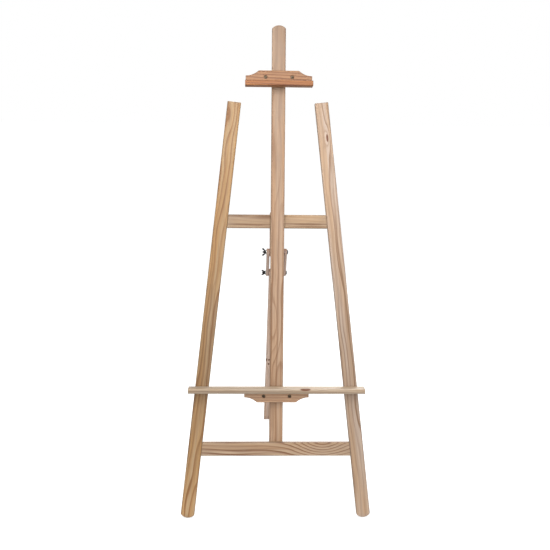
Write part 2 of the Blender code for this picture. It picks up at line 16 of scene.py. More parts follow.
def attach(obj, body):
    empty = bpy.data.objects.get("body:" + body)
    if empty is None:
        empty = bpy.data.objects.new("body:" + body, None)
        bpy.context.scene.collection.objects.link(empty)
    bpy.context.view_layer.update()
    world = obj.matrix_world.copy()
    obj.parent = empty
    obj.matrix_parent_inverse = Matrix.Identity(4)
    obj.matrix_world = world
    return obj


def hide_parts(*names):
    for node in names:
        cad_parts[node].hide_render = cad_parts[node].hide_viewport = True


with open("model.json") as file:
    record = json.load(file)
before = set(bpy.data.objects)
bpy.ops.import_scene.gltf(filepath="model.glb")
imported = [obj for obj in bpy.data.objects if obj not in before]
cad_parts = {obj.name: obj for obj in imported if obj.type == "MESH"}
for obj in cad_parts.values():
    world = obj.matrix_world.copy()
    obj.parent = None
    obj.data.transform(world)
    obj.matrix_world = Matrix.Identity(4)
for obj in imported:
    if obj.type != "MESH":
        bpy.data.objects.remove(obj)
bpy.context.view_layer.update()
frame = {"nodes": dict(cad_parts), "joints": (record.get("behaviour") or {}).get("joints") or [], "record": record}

NODES = frame["nodes"]
BODY_OF = {node: body for body, nodes in frame["record"]["behaviour"]["bodies"].items() for node in nodes}
JOINTS = {joint["name"]: joint for joint in frame["joints"]}
MAST_UP = Vector(JOINTS["tray_slide"]["axis"]).normalized()
MAST_BACK = Vector(JOINTS["tray_nut_left_turn"]["axis"]).normalized()
RIGHT = Vector((1, 0, 0))
TOWARDS_THE_FRONT = Vector((0.1, -1.0, 0.5))

# Camera.
CAMERA_PLACE = Vector((-0.0882, -2.8084, 1.2555))
CAMERA_YAW = math.radians(1.863)
CAMERA_PITCH = math.radians(11.416)
CAMERA_ROLL = math.radians(0.662)
CAMERA_FOCAL_PIXELS = 828.3
IMAGE_PIXELS = 550
SENSOR_WIDTH = 36.0


def make_camera():
    forward = Vector((math.sin(CAMERA_YAW) * math.cos(CAMERA_PITCH),
                      math.cos(CAMERA_YAW) * math.cos(CAMERA_PITCH), -math.sin(CAMERA_PITCH)))
    level = Vector((math.cos(CAMERA_YAW), -math.sin(CAMERA_YAW), 0))
    plumb = forward.cross(level)
    right = math.cos(CAMERA_ROLL) * level - math.sin(CAMERA_ROLL) * plumb
    up = -math.sin(CAMERA_ROLL) * level - math.cos(CAMERA_ROLL) * plumb
    data = bpy.data.cameras.new("camera")
    data.sensor_width = SENSOR_WIDTH
    data.lens = CAMERA_FOCAL_PIXELS / IMAGE_PIXELS * SENSOR_WIDTH
    data.dof.use_dof = False
    camera = bpy.data.objects.new("camera", data)
    axes = Matrix((right, up, -forward)).transposed().to_4x4()
    camera.matrix_world = Matrix.Translation(CAMERA_PLACE) @ axes
    bpy.context.scene.collection.objects.link(camera)
    bpy.context.scene.camera = camera


make_camera()

# Sizes of the boards' finish, in metres.
SIDE_ARRIS = 0.0034
END_ARRIS = 0.0010
ARRIS_UNEVENNESS = 0.35
ARRIS_WAVES_PER_METRE = 18
ARRIS_STEPS = 4
CORNER_ROUND = 0.0018
CORNER_STEPS = 4
CORNER_MOST = 0.4  # of the shorter side beside the corner
SHARP_CORNER = math.radians(25)
LONGEST_STEP = 0.040
NEAR_CORNER = 0.003
SAME_POINT = 0.0002
STRAIGHT_RUN = math.radians(1.5)
CAD_EASE = 0.001

# Sizes of the holes, in metres.
GAP = 0.0003
BOLT_BORE = 0.0033
DOWEL_BORE = 0.0043
SCREW_BORE = 0.0024
THROUGH_ROOM = 0.05
HOLE_END_ROOM = 0.001
CUTTER_LEAD = 0.002
COUNTERBORE = 0.0056
COUNTERBORE_DEPTH = 0.005
COUNTERBORE_REACH = 0.04
MOUTH_CHAMFER = 0.0004
BORE_STEPS = 32
COUNTERBORE_STEPS = 40

BOARD_SHARP_ANGLE = 38
FASTENER_SHARP_ANGLE = 32


# Meshes.

def mesh_points(mesh):
    points = np.empty(len(mesh.vertices) * 3)
    mesh.vertices.foreach_get("co", points)
    return points.reshape(-1, 3)


def cad_points(node):
    return mesh_points(NODES[node].data)


def widest_normal(node):
    """The direction of the node's widest flat faces, pointing forwards, upwards or to the right."""
    areas = {}
    for polygon in NODES[node].data.polygons:
        normal = polygon.normal.copy()
        if normal.dot(TOWARDS_THE_FRONT) < 0:
            normal.negate()
        key = tuple(round(value, 3) for value in normal)
        area, first = areas.get(key, (0.0, normal))
        areas[key] = (area + polygon.area, first)
    return max(areas.values(), key=lambda pair: pair[0])[1].normalized()


def new_object(name, vertices, faces):
    mesh = bpy.data.meshes.new(name)
    mesh.from_pydata([tuple(v) for v in vertices], [], faces)
    mesh.validate()
    obj = bpy.data.objects.new(name, mesh)
    bpy.context.scene.collection.objects.link(obj)
    return obj


def apply_modifiers(obj):
    depsgraph = bpy.context.evaluated_depsgraph_get()
    old = obj.data
    obj.data = bpy.data.meshes.new_from_object(obj.evaluated_get(depsgraph), depsgraph=depsgraph)
    obj.modifiers.clear()
    bpy.data.meshes.remove(old)


def lathe(rings, steps, closed=False):
    """Vertices and faces of a solid turned about its own Z.

    Each ring is (radius, height); a radius is a number, or a function of the angle. A closed profile makes
    a ring with a hole, and any other one starts and ends on the axis.
    """
    vertices = []
    starts = []
    for radius, height in rings:
        starts.append(len(vertices))
        if radius == 0:
            vertices.append((0, 0, height))
            continue
        for step in range(steps):
            angle = 2 * math.pi * step / steps
            reach = radius(angle) if callable(radius) else radius
            vertices.append((reach * math.cos(angle), reach * math.sin(angle), height))
    faces = []
    pairs = list(zip(range(len(rings)), range(1, len(rings))))
    if closed:
        pairs.append((len(rings) - 1, 0))
    for first, second in pairs:
        for step in range(steps):
            after = (step + 1) % steps
            low, high = starts[first], starts[second]
            low = [low] if rings[first][0] == 0 else [low + after, low + step]
            high = [high] if rings[second][0] == 0 else [high + step, high + after]
            faces.append((low + high)[::-1])
    return vertices, faces


def prism(outline, low, high, spread=1.0):
    """Vertices and faces of a prism along Z whose outline is scaled by spread at its high end."""
    count = len(outline)
    vertices = [(x, y, low) for x, y in outline] + [(x * spread, y * spread, high) for x, y in outline]
    faces = [tuple(range(count))[::-1], tuple(range(count, 2 * count))]
    for index in range(count):
        after = (index + 1) % count
        faces.append((index, after, count + after, count + index))
    return vertices, faces


def joined(shapes):
    """One pair of vertices and faces from several."""
    vertices = []
    faces = []
    for points, sides in shapes:
        start = len(vertices)
        vertices += points
        faces += [tuple(start + index for index in side) for side in sides]
    return vertices, faces


def cut_away(obj, shapes):
    """Cuts these solids, as (vertices, faces, matrix), out of the object."""
    placed = [([matrix @ Vector(point) for point in points], faces) for points, faces, matrix in shapes]
    cutter = new_object("cutter", *joined(placed))
    boolean = obj.modifiers.new("cut", "BOOLEAN")
    boolean.operation = "DIFFERENCE"
    boolean.solver = "EXACT"
    boolean.object = cutter
    bpy.context.view_layer.update()
    apply_modifiers(obj)
    bpy.data.objects.remove(cutter, do_unlink=True)


def soften_shading(obj, angle=BOARD_SHARP_ANGLE):
    obj.data.shade_smooth()
    obj.data.set_sharp_from_angle(angle=math.radians(angle))
    weighted = obj.modifiers.new("even_shading", "WEIGHTED_NORMAL")
    weighted.keep_sharp = True


def store(mesh, name, kind, domain, values):
    attribute = mesh.attributes.new(name, kind, domain)
    field = "vector" if kind == "FLOAT_VECTOR" else "value"
    attribute.data.foreach_set(field, np.asarray(values, np.float32).ravel())


# Turned pieces, which are built along their own +Z and placed on their CAD solid's axis.

def turning_direction(node):
    if node.startswith(("link_", "knee_")):
        return -RIGHT
    if "dowel" in node:
        return RIGHT if node.startswith(("upper_", "lower_")) else MAST_UP
    if node.startswith("mast_foot"):
        return -MAST_BACK
    if node.startswith("hinge_block"):
        return widest_normal("upper_crossbar")
    return MAST_BACK


class Axis:
    """The axis of a turned CAD solid: its matrix starts at the solid's low end."""

    def __init__(self, node):
        along = turning_direction(node)
        points = cad_points(node)
        heights = points @ np.array(along)
        side = RIGHT if abs(along.x) < 0.5 else Vector((0, 0, 1))
        side = (side - side.dot(along) * along).normalized()
        other = along.cross(side)
        middles = []
        for direction in (side, other):
            reach = points @ np.array(direction)
            middles.append((reach.min() + reach.max()) / 2 * direction)
        base = middles[0] + middles[1]
        offsets = points - np.array(base)
        radii = np.linalg.norm(offsets - np.outer(offsets @ np.array(along), along), axis=1)
        if "wing_nut" in node:
            far = Vector(offsets[radii.argmax()])
            side = (far - far.dot(along) * along).normalized()
            other = along.cross(side)
        self.length = heights.max() - heights.min()
        self.radius = radii.max()
        self.along = along
        turn = Matrix((side, other, along)).transposed().to_4x4()
        self.matrix = Matrix.Translation(base + heights.min() * along) @ turn


def bore(node, radius, room=THROUGH_ROOM):
    """A round hole on this fastener's axis that runs past both of its ends."""
    axis = Axis(node)
    rings = [(0, -room), (radius, -room), (radius, axis.length + room), (0, axis.length + room)]
    return (*lathe(rings, BORE_STEPS), axis.matrix)


def counterbore(node, bracket):
    """The stepped hole that a clamp bolt's head sits in, with a chamfered mouth."""
    axis = Axis(node)
    face = (cad_points(bracket) @ np.array(axis.along)).min() - axis.matrix.translation.dot(axis.along)
    mouth = face - CUTTER_LEAD
    wide = COUNTERBORE + CUTTER_LEAD + MOUTH_CHAMFER
    rings = [(0, mouth), (wide, mouth), (COUNTERBORE, face + MOUTH_CHAMFER),
             (COUNTERBORE, face + COUNTERBORE_DEPTH), (BOLT_BORE, face + COUNTERBORE_DEPTH),
             (BOLT_BORE, face + COUNTERBORE_REACH), (0, face + COUNTERBORE_REACH)]
    return (*lathe(rings, COUNTERBORE_STEPS), axis.matrix)


def countersink(node):
    """A screw's hole with the cone that its head sits in."""
    axis = Axis(node)
    wide = axis.radius + GAP
    end = axis.length + HOLE_END_ROOM
    rings = [(0, -CUTTER_LEAD), (wide + CUTTER_LEAD, -CUTTER_LEAD), (wide, 0),
             (SCREW_BORE, wide - SCREW_BORE), (SCREW_BORE, end), (0, end)]
    return (*lathe(rings, BORE_STEPS), axis.matrix)


# Boards.

def dense_outline(corners):
    """The outline with rounded corners and with points close enough together for an uneven arris."""
    rounded = []
    for index, corner in enumerate(corners):
        back = corners[index - 1] - corner
        ahead = corners[(index + 1) % len(corners)] - corner
        before, after = np.linalg.norm(back), np.linalg.norm(ahead)
        turn = math.pi - math.acos(np.clip(back @ ahead / before / after, -1, 1))
        if turn < SHARP_CORNER:
            rounded.append(corner)
            continue
        reach = min(CORNER_ROUND * math.tan(turn / 2), CORNER_MOST * before, CORNER_MOST * after)
        start = corner + back / before * reach
        end = corner + ahead / after * reach
        for step in range(CORNER_STEPS + 1):
            t = step / CORNER_STEPS
            rounded.append((1 - t) ** 2 * start + 2 * t * (1 - t) * corner + t ** 2 * end)
    dense = []
    for index, point in enumerate(rounded):
        after = rounded[(index + 1) % len(rounded)]
        length = np.linalg.norm(after - point)
        dense.append(point)
        if length < 4 * NEAR_CORNER:
            continue
        near = NEAR_CORNER / length
        steps = max(1, math.ceil(length / LONGEST_STEP))
        for part in range(steps + 1):
            share = near + (1 - 2 * near) * part / steps
            dense.append(point + (after - point) * share)
    return np.array(dense)


def plate(outline, half, seed):
    """Vertices and faces of an outline given its thickness, with soft uneven arrises."""
    before = outline - np.roll(outline, 1, axis=0)
    after = np.roll(outline, -1, axis=0) - outline
    before /= np.linalg.norm(before, axis=1)[:, None]
    after /= np.linalg.norm(after, axis=1)[:, None]
    heading = before + after
    heading /= np.linalg.norm(heading, axis=1)[:, None]
    outward = np.stack([heading[:, 1], -heading[:, 0]], axis=1)
    least_mitre_cosine = 0.7
    mitre = 1 / np.maximum(least_mitre_cosine, np.sum(heading * after, axis=1))
    side_starts, side_share = 0.75, 0.24
    sideways = np.clip((np.abs(heading[:, 0]) - side_starts) / side_share, 0, 1)
    uneven = np.array([noise.noise((ARRIS_WAVES_PER_METRE * x, ARRIS_WAVES_PER_METRE * y, seed))
                       for x, y in outline])
    arris = (END_ARRIS + (SIDE_ARRIS - END_ARRIS) * sideways) * (1 + ARRIS_UNEVENNESS * uneven)
    levels = []
    for step in range(ARRIS_STEPS + 1):
        angle = math.pi / 2 * step / ARRIS_STEPS
        levels.append((arris * (1 - math.cos(angle)), half - arris * (1 - math.sin(angle))))
    rings = [(inset, -height) for inset, height in reversed(levels)] + levels
    count = len(outline)
    vertices = []
    for inset, height in rings:
        flat = outline - outward * (inset * mitre)[:, None]
        vertices += [(x, y, z) for (x, y), z in zip(flat, height)]
    faces = [tuple(range(count))[::-1], tuple(range((len(rings) - 1) * count, len(rings) * count))]
    for ring in range(len(rings) - 1):
        for index in range(count):
            low, high = ring * count, (ring + 1) * count
            after_index = (index + 1) % count
            faces.append((low + index, low + after_index, high + after_index, high + index))
    return vertices, faces


class Board:
    """A board's own axes, from its CAD solid: along the grain, across it, and out through its thickness."""

    def __init__(self, node, out=None):
        self.node = node
        self.out = out or widest_normal(node)
        points = cad_points(node)
        start = self.out.orthogonal().normalized()
        flat = np.stack([points @ np.array(start), points @ np.array(self.out.cross(start))], axis=1)
        hull = flat[convex_hull_2d([tuple(p) for p in flat])]
        edges = np.roll(hull, -1, axis=0) - hull
        longest = edges[np.linalg.norm(edges, axis=1).argmax()]
        along = (start * longest[0] + self.out.cross(start) * longest[1]).normalized()
        self.along = along if along.dot(Vector((1, 0, 2))) > 0 else -along
        self.across = self.out.cross(self.along)
        axes = np.array([self.along, self.across, self.out])
        local = points @ axes.T
        middle = (local.min(axis=0) + local.max(axis=0)) / 2
        self.centre = Vector(middle @ axes)
        self.local = local - middle
        self.half = self.local.max(axis=0)
        turn = Matrix((self.along, self.across, self.out)).transposed().to_4x4()
        self.matrix = Matrix.Translation(self.centre) @ turn

    def corners(self):
        """The outline of a convex board, counter-clockwise, without points on a straight run."""
        flat = [tuple(p) for p in self.local[:, :2]]
        hull = np.array([flat[index] for index in convex_hull_2d(flat)])
        return drop_straight(hull)

    def scallop_corners(self):
        """The outline of a bracket, whose wide straight edge faces its shelf."""
        level = self.half[2] - CAD_EASE
        rim = self.local[np.abs(self.local[:, 2] - level) < CAD_EASE / 3][:, :2]
        wide = rim[np.abs(rim[:, 0]) > self.half[0] - CAD_EASE / 3]
        side = math.copysign(1, wide[:, 1].sum()) * self.half[1]
        far = rim[np.abs(rim[:, 1] - side) > self.half[1] / 2]
        far = far[far[:, 0].argsort()]
        shelf = [(self.half[0], side), (-self.half[0], side)]
        return drop_straight(np.array(list(far) + shelf))


def drop_straight(points):
    """A counter-clockwise outline without doubled points or points on a straight run."""
    x, y = points.T
    if np.sum(x * np.roll(y, -1) - np.roll(x, -1) * y) < 0:
        points = points[::-1]
    apart = np.linalg.norm(points - np.roll(points, 1, axis=0), axis=1) > SAME_POINT
    points = points[apart]
    before = points - np.roll(points, 1, axis=0)
    after = np.roll(points, -1, axis=0) - points
    turn = np.abs(before[:, 0] * after[:, 1] - before[:, 1] * after[:, 0])
    bend = turn / np.linalg.norm(before, axis=1) / np.linalg.norm(after, axis=1)
    return points[bend > math.sin(STRAIGHT_RUN)]


def mark_board(obj, board, outline):
    """Stores each point's place in its board, which faces show end grain, and how close each point lies to an
    arris, the mask for the painted edge shade.
    """
    mesh = obj.data
    axes = np.array([board.along, board.across, board.out])
    local = (mesh_points(mesh) - np.array(board.centre)) @ axes.T
    store(mesh, "grain", "FLOAT_VECTOR", "POINT", local)
    ends = [abs(polygon.normal.dot(board.along)) ** 3 for polygon in mesh.polygons]
    store(mesh, "end_grain", "FLOAT", "FACE", ends)
    runs = np.roll(outline, -1, axis=0) - outline
    lengths = np.maximum(1e-12, np.sum(runs * runs, axis=1))
    edge_shade_and_polish = []
    for u, v, w in local:
        offset = np.array((u, v)) - outline
        share = np.clip(np.sum(offset * runs, axis=1) / lengths, 0, 1)
        edge = np.linalg.norm(offset - runs * share[:, None], axis=1).min()
        depth = board.half[2] - abs(w)
        edge_shade_and_polish.append(max(0.0, 1 - (edge + depth) / SIDE_ARRIS) * 2)
    store(mesh, "arris", "FLOAT", "POINT", np.clip(edge_shade_and_polish, 0, 1))


def show(obj, node, material):
    """The piece stands for the node, rides on its body and takes this material."""
    obj.data.materials.clear()
    obj.data.materials.append(material)
    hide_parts(node)
    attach(obj, BODY_OF[node])


# Materials.

class Nodes:
    """Builds one material's node tree."""

    def __init__(self, name):
        self.material = bpy.data.materials.new(name)
        self.material.use_nodes = True
        self.tree = self.material.node_tree
        self.shader = self.tree.nodes["Principled BSDF"]

    def add(self, kind, **settings):
        node = self.tree.nodes.new(kind)
        for key, value in settings.items():
            setattr(node, key, value)
        return node

    def feed(self, socket, value):
        if isinstance(value, bpy.types.NodeSocket):
            self.tree.links.new(value, socket)
        else:
            socket.default_value = value

    def attribute(self, name, output="Fac"):
        return self.add("ShaderNodeAttribute", attribute_name=name).outputs[output]

    def math(self, operation, *values, clamp=False):
        node = self.add("ShaderNodeMath", operation=operation, use_clamp=clamp)
        for socket, value in zip(node.inputs, values):
            self.feed(socket, value)
        return node.outputs[0]

    def vector(self, operation, *values):
        node = self.add("ShaderNodeVectorMath", operation=operation)
        for socket, value in zip(node.inputs, values):
            self.feed(socket, value)
        return node.outputs["Value" if operation in ("DOT_PRODUCT", "LENGTH") else "Vector"]

    def noise(self, place, stretch, detail=2.0, roughness=0.5):
        """Noise that varies this many times a metre along, across and through the piece."""
        node = self.add("ShaderNodeTexNoise")
        self.feed(node.inputs["Vector"], self.vector("MULTIPLY", place, stretch))
        self.feed(node.inputs["Scale"], 1.0)
        self.feed(node.inputs["Detail"], detail)
        self.feed(node.inputs["Roughness"], roughness)
        return node.outputs["Fac"]

    def ramp(self, factor, *stops):
        """A smooth curve through (position, value) stops."""
        node = self.add("ShaderNodeValToRGB")
        self.feed(node.inputs["Fac"], factor)
        elements = node.color_ramp.elements
        while len(elements) < len(stops):
            elements.new(0.5)
        for element, (position, value) in zip(elements, stops):
            element.position = position
            element.color = (value, value, value, 1.0)
        return self.math("ADD", node.outputs["Color"], 0.0)

    def mix(self, factor, first, second, blend="MIX"):
        node = self.add("ShaderNodeMix", data_type="RGBA", blend_type=blend)
        for index, value in ((0, factor), (6, first), (7, second)):
            self.feed(node.inputs[index], value)
        return node.outputs[2]

    def bump(self, height, distance, strength):
        node = self.add("ShaderNodeBump")
        self.feed(node.inputs["Height"], height)
        self.feed(node.inputs["Distance"], distance)
        self.feed(node.inputs["Strength"], strength)
        self.feed(self.shader.inputs["Normal"], node.outputs["Normal"])

    def blob(self, place, centre, size):
        """1 at the centre of an ellipsoid, falling smoothly to 0 well outside it."""
        offset = self.vector("MULTIPLY", self.vector("SUBTRACT", place, centre), [1 / x for x in size])
        return self.math("EXPONENT", self.math("MULTIPLY", self.vector("DOT_PRODUCT", offset, offset), -1.0))


def rgb(red, green, blue):
    """A linear colour from 0 to 255 display values."""
    linear = []
    for value in (red, green, blue):
        value /= 255
        linear.append(value / 12.92 if value <= 0.04045 else ((value + 0.055) / 1.055) ** 2.4)
    return (*linear, 1.0)


# Shares of a board's mean colour: its early wood, its late wood, the warmer bands between, and the painted shade
# on its arrises.
EARLY = (1.16, 1.20, 1.24)
LATE = (0.56, 0.41, 0.27)
WARM = (1.02, 0.93, 0.80)
PAINTED_EDGE_SHADE = (0.70, 0.74, 0.82)
# Shares of the late wood's colour: for the dark streaks and painted shade bands, and for resin flecks.
STREAK_AND_PAINTED_SHADE = (0.86, 0.80, 0.72)
FLECK = (0.6, 0.6, 0.6)


def scaled(colour, share):
    return (*[min(1.0, value * part) for value, part in zip(colour[:3], share)], 1.0)


KNOT = rgb(98, 52, 24)
END_PORES = rgb(190, 168, 152)
END_WOOD = rgb(222, 202, 184)


def pine(name, seed, tone, late=LATE, warm=WARM, spacing=0.0075, pith=(0.045, 0.040), tilt=(0.01, 0.02),
         wave=0.008, curl=0.006, contrast=0.9, swirls=(), streaks_and_painted_shade=(), knots=(), painted_shade_and_tone=()):
    """Solid pine: growth rings about a wavy pith line, fibres, resin flecks, knots, and arrises darkened with
    painted shade.

    The pith runs beside the board at this offset (across, out), and tilts by this slope along it. It wavers
    by about wave metres, and the whole figure snakes by about curl metres. A swirl is (centre, size, push),
    which bends the rings by push metres; a streak of darker wood, or a band of painted shade along a ledge's
    lower edge, is (centre, size, strength); a knot is (centre, size); a darker stretch is (centre, size, share),
    or a paler one where the share is negative: on the legs and the tray's front face these are painted shade
    and painted light, elsewhere the wood's own tone. All of them are in the board's own axes.
    """
    nodes = Nodes(name)
    tone = rgb(*tone)
    early_colour = scaled(tone, EARLY)
    late_colour = scaled(tone, late)
    warm_colour = scaled(tone, warm)
    grain = nodes.attribute("grain", "Vector")
    place = nodes.vector("ADD", grain, (0.37 * seed, 0.11 * seed, 0.23 * seed))
    split = nodes.add("ShaderNodeSeparateXYZ")
    nodes.feed(split.inputs[0], grain)
    along, across, out = split.outputs

    def wandering(stretch, share, offset):
        moved = nodes.vector("ADD", place, (offset, offset, offset))
        return nodes.math("MULTIPLY", nodes.math("SUBTRACT", nodes.noise(moved, stretch, 1.0), 0.5), share)

    across = nodes.math("ADD", across, wandering((5.0, 9.0, 9.0), curl, 3.9))
    legs = []
    for value, start, slope, offset in ((across, pith[0], tilt[0], 0.0), (out, pith[1], tilt[1], 5.3)):
        value = nodes.math("ADD", value, start)
        value = nodes.math("ADD", value, nodes.math("MULTIPLY", along, slope))
        value = nodes.math("ADD", value, wandering((2.6, 12.0, 12.0), 2 * wave, offset))
        value = nodes.math("ADD", value, wandering((8.0, 60.0, 60.0), 0.5 * wave, offset + 1.7))
        legs.append(nodes.math("MULTIPLY", value, value))
    radius = nodes.math("SQRT", nodes.math("ADD", *legs))
    for centre, size, push in swirls:
        radius = nodes.math("ADD", radius, nodes.math("MULTIPLY", nodes.blob(grain, centre, size), push))
    for centre, size in knots:
        wide = [2.6 * x for x in size]
        push = nodes.math("MULTIPLY", nodes.blob(grain, centre, wide), 1.6 * spacing)
        radius = nodes.math("ADD", radius, push)

    phase = nodes.math("DIVIDE", radius, spacing)
    phase = nodes.math("ADD", phase, wandering((1.2, 30.0, 30.0), 1.0, 9.1))
    ring = nodes.math("FRACT", phase)
    dark = nodes.ramp(ring, (0.0, 0.0), (0.36, 0.03), (0.62, 0.30), (0.82, 1.0), (0.93, 0.85), (1.0, 0.0))
    pick = nodes.add("ShaderNodeTexWhiteNoise", noise_dimensions="1D")
    nodes.feed(pick.inputs["W"], nodes.math("ADD", nodes.math("FLOOR", phase), 13.7 * seed))
    strength = nodes.math("MULTIPLY_ADD", pick.outputs["Value"], 0.65, 0.45)
    patch = nodes.ramp(nodes.noise(place, (3.0, 28.0, 28.0), 1.0), (0.30, 0.55), (0.60, 1.0))
    dark = nodes.math("MULTIPLY", nodes.math("MULTIPLY", dark, strength), patch)
    dark = nodes.math("MULTIPLY", dark, contrast, clamp=True)
    bent = nodes.add("ShaderNodeCombineXYZ")
    for socket, value in zip(bent.inputs, (along, across, out)):
        nodes.feed(socket, value)
    streak_and_shade_mask = 0.0
    for centre, size, share in streaks_and_painted_shade:
        streak = nodes.math("MULTIPLY", nodes.blob(bent.outputs[0], centre, size), share)
        streak_and_shade_mask = nodes.math("MAXIMUM", streak, streak_and_shade_mask)

    fibre = nodes.noise(place, (13.0, 430.0, 430.0), 3.0, 0.6)
    fine = nodes.noise(place, (45.0, 1900.0, 1900.0), 2.0)
    drift = nodes.ramp(nodes.noise(place, (2.2, 62.0, 62.0), 2.0), (0.36, 0.0), (0.64, 1.0))
    flecks = nodes.ramp(nodes.noise(place, (30.0, 800.0, 800.0), 1.0), (0.70, 0.0), (0.80, 1.0))

    colour = nodes.mix(nodes.math("MULTIPLY", drift, 0.9), early_colour, warm_colour)
    colour = nodes.mix(dark, colour, late_colour)
    # Dark streaks of late wood, and on the clip's ledge a band of painted shade along its lower front edge.
    if streaks_and_painted_shade:
        streak_and_shade_mask = nodes.math("MINIMUM", streak_and_shade_mask, 1.0)
        colour = nodes.mix(streak_and_shade_mask, colour, scaled(late_colour, STREAK_AND_PAINTED_SHADE))
        dark = nodes.math("MAXIMUM", dark, streak_and_shade_mask)
    shade = nodes.ramp(fibre, (0.28, 0.80), (0.72, 1.12))
    grey = nodes.add("ShaderNodeCombineColor")
    fine_shade = nodes.math("MULTIPLY", shade, nodes.ramp(fine, (0.2, 0.94), (0.8, 1.04)))
    # Darker and paler stretches: painted shade and painted light on the legs and the tray's front face, the wood's
    # own tone elsewhere.
    for centre, size, share in painted_shade_and_tone:
        shade_and_tone_factor = nodes.math("MULTIPLY_ADD", nodes.blob(grain, centre, size), -share, 1.0)
        fine_shade = nodes.math("MULTIPLY", fine_shade, shade_and_tone_factor)
    for socket in grey.inputs[:3]:
        nodes.feed(socket, fine_shade)
    colour = nodes.mix(1.0, colour, grey.outputs[0], "MULTIPLY")
    colour = nodes.mix(nodes.math("MULTIPLY", flecks, 0.35), colour, scaled(late_colour, FLECK))

    knotty = 0.0
    for centre, size in knots:
        core = nodes.ramp(nodes.blob(grain, centre, size), (0.30, 0.0), (0.52, 1.0))
        knotty = nodes.math("MAXIMUM", knotty, core)
    if knots:
        colour = nodes.mix(nodes.math("MULTIPLY", knotty, 0.92), colour, KNOT)

    ends = nodes.attribute("end_grain")
    pores = nodes.noise(place, (600.0, 1500.0, 1500.0), 2.0, 0.7)
    end_shade = nodes.mix(pores, END_PORES, END_WOOD)
    colour = nodes.mix(ends, colour, nodes.mix(1.0, colour, end_shade, "MULTIPLY"))
    edge_patches = nodes.noise(place, (30.0, 160.0, 160.0), 3.0, 0.6)
    edge_shade_and_polish = nodes.math("MULTIPLY", nodes.attribute("arris"), nodes.ramp(edge_patches, (0.35, 0.25), (0.65, 1.0)))
    if knots:
        edge_shade_and_polish = nodes.math("MULTIPLY", edge_shade_and_polish, nodes.math("SUBTRACT", 1.0, knotty))
    # Painted shade: the arrises darkened towards a greyer tint, broken up by noise.
    colour = nodes.mix(nodes.math("MULTIPLY", edge_shade_and_polish, 0.55), colour, scaled(tone, PAINTED_EDGE_SHADE))
    nodes.feed(nodes.shader.inputs["Base Color"], colour)

    rough = nodes.math("MULTIPLY_ADD", fibre, 0.20, 0.46)
    rough = nodes.math("SUBTRACT", rough, nodes.math("MULTIPLY", dark, 0.08))
    rough = nodes.math("ADD", rough, nodes.math("MULTIPLY", ends, 0.14))
    rough = nodes.math("SUBTRACT", rough, nodes.math("MULTIPLY", edge_shade_and_polish, 0.08))
    nodes.feed(nodes.shader.inputs["Roughness"], rough)
    nodes.feed(nodes.shader.inputs["Specular IOR Level"], 0.32)
    height = nodes.math("MULTIPLY_ADD", dark, 0.5, nodes.math("MULTIPLY", fibre, 0.6))
    height = nodes.math("MULTIPLY_ADD", fine, 0.35, height)
    height = nodes.math("ADD", height, nodes.math("MULTIPLY", nodes.math("MULTIPLY", ends, pores), 1.1))
    nodes.bump(height, 0.00025, 0.55)
    return nodes.material


def steel(name, base, bright, rough, stain):
    """Metal with a mottled finish, fine scratches, and brighter edges where it has been handled."""
    nodes = Nodes(name)
    place = nodes.attribute("grain", "Vector")
    mottle = nodes.noise(place, (180.0, 180.0, 180.0), 4.0, 0.65)
    scratches = nodes.noise(place, (2600.0, 2600.0, 350.0), 2.0)
    edge = nodes.ramp(nodes.add("ShaderNodeNewGeometry").outputs["Pointiness"], (0.51, 0.0), (0.60, 1.0))
    edge_patches = nodes.math("MULTIPLY", edge, nodes.ramp(mottle, (0.38, 0.1), (0.62, 1.0)))
    colour = nodes.mix(nodes.ramp(mottle, (0.35, 0.0), (0.70, 1.0)), base, stain)
    colour = nodes.mix(nodes.math("MULTIPLY", edge_patches, 0.7), colour, bright)
    nodes.feed(nodes.shader.inputs["Base Color"], colour)
    nodes.feed(nodes.shader.inputs["Metallic"], 1.0)
    gloss = nodes.math("MULTIPLY_ADD", mottle, 0.22, rough)
    gloss = nodes.math("MULTIPLY_ADD", scratches, 0.10, gloss)
    gloss = nodes.math("SUBTRACT", gloss, nodes.math("MULTIPLY", edge_patches, 0.12))
    nodes.feed(nodes.shader.inputs["Roughness"], gloss)
    nodes.bump(nodes.math("MULTIPLY_ADD", scratches, 0.4, mottle), 0.00006, 0.5)
    return nodes.material


